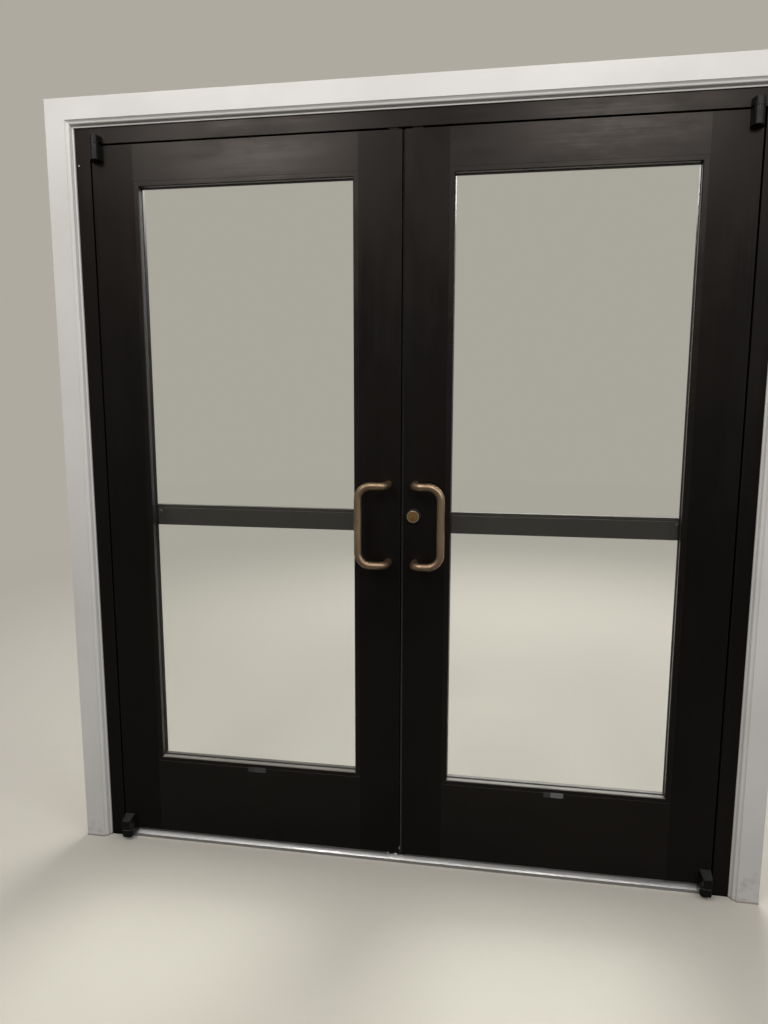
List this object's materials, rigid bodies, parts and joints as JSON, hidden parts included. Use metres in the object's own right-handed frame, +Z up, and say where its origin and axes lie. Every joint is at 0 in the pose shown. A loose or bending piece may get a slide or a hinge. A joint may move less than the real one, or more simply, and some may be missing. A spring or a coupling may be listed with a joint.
{
  "type": "glass door",
  "caption": "Pair of glazed aluminium entrance leaves on offset pivots in a tubular frame, with timber casing, offset pulls, push bars, hook lock and flush bolts.",
  "frame": {"origin": "on the floor, in the middle of the opening and of the depth of the frame tubes", "axes": "+X to the right as seen from the pull side, +Y away from the pull side, +Z up"},
  "size_m": [2.0718, 0.1832, 2.2678],
  "materials": {
    "bronze_aluminium": "dark bronze anodised, satin",
    "bronze_pivot": "dark bronze paint, satin",
    "dark_pull": "satin bronze anodised round bar, warm and lighter than the framework",
    "black_bracket": "black paint, satin",
    "clear_glass": "clear safety glass, faint grey-green",
    "black_rubber": "black glazing rubber",
    "plated_steel": "zinc plated",
    "keeper_steel": "satin plate",
    "cylinder_brass": "brushed, worn",
    "dark_collar": "dark bronze, satin",
    "mill_aluminium": "mill finish, scuffed and dusty",
    "painted_wood": "off-white gloss paint",
    "liner_wood": "off-white paint, bare back"
  },
  "bodies": {
    "frame": {"bottom_pivot_frame_left": "bronze_pivot", "bottom_pivot_frame_right": "bronze_pivot", "casing_head": "painted_wood", "casing_left": "painted_wood", "casing_right": "painted_wood", "frame_head": "bronze_aluminium", "head_keepers": "keeper_steel", "jamb_left": "bronze_aluminium", "jamb_right": "bronze_aluminium", "liner_head": "liner_wood", "liner_left": "liner_wood", "liner_right": "liner_wood", "stop_head": "bronze_aluminium", "stop_left": "bronze_aluminium", "stop_right": "bronze_aluminium", "threshold": "mill_aluminium", "top_pivot_frame_left": "bronze_pivot", "top_pivot_frame_right": "bronze_pivot"},
    "left_leaf": {"flush_bolt_fittings": "plated_steel", "left_bar_brackets": "black_bracket", "left_bottom_pivot": "bronze_pivot", "left_bottom_rail": "bronze_aluminium", "left_gaskets": "black_rubber", "left_glass": "clear_glass", "left_hinge_stile": "bronze_aluminium", "left_lock_stile": "bronze_aluminium", "left_pull": "dark_pull", "left_push_bar": "bronze_aluminium", "left_setting_blocks": "black_rubber", "left_stops_pull": "bronze_aluminium", "left_stops_push": "bronze_aluminium", "left_tie_rods": "plated_steel", "left_top_pivot": "bronze_pivot", "left_top_rail": "bronze_aluminium", "strike": "keeper_steel"},
    "right_leaf": {"cylinder_body": "cylinder_brass", "cylinder_collar": "dark_collar", "lock_case": "plated_steel", "right_astragal": "bronze_aluminium", "right_bar_brackets": "black_bracket", "right_bottom_pivot": "bronze_pivot", "right_bottom_rail": "bronze_aluminium", "right_gaskets": "black_rubber", "right_glass": "clear_glass", "right_hinge_stile": "bronze_aluminium", "right_lock_stile": "bronze_aluminium", "right_pull": "dark_pull", "right_push_bar": "bronze_aluminium", "right_setting_blocks": "black_rubber", "right_stops_pull": "bronze_aluminium", "right_stops_push": "bronze_aluminium", "right_tie_rods": "plated_steel", "right_top_pivot": "bronze_pivot", "right_top_rail": "bronze_aluminium"},
    "flush_bolt_top": {"flush_bolt_top": "plated_steel"},
    "flush_bolt_bottom": {"flush_bolt_bottom": "plated_steel"},
    "cylinder_plug": {"cylinder_plug": "cylinder_brass"},
    "hook_bolt": {"hook_bolt": "plated_steel"}
  },
  "joints": [
    {"name": "left_leaf_swing", "type": "hinge", "parent": "frame", "child": "left_leaf", "pos_m": [-0.889, -0.07615, 0], "axis": [0, 0, -1], "range_deg": [0, 105]},
    {"name": "right_leaf_swing", "type": "hinge", "parent": "frame", "child": "right_leaf", "pos_m": [0.889, -0.07615, 0], "axis": [0, 0, 1], "range_deg": [0, 105]},
    {"name": "flush_bolt_top_slide", "type": "slide", "parent": "left_leaf", "child": "flush_bolt_top", "axis": [0, 0, 1], "range_m": [0, 0.019]},
    {"name": "flush_bolt_bottom_slide", "type": "slide", "parent": "left_leaf", "child": "flush_bolt_bottom", "axis": [0, 0, -1], "range_m": [0, 0.019]},
    {"name": "cylinder_turn", "type": "hinge", "parent": "right_leaf", "child": "cylinder_plug", "pos_m": [0.0335, -0.06, 1.08165], "axis": [0, -1, 0], "range_deg": [0, 90]},
    {"name": "hook_bolt_swing", "type": "hinge", "parent": "right_leaf", "child": "hook_bolt", "pos_m": [0.018, -0.03492, 1.02285], "axis": [0, -1, 0], "range_deg": [0, 90]}
  ],
  "couplings": [
    {"joint": "hook_bolt_swing", "follows": "cylinder_turn", "ratio": 1}
  ]
}
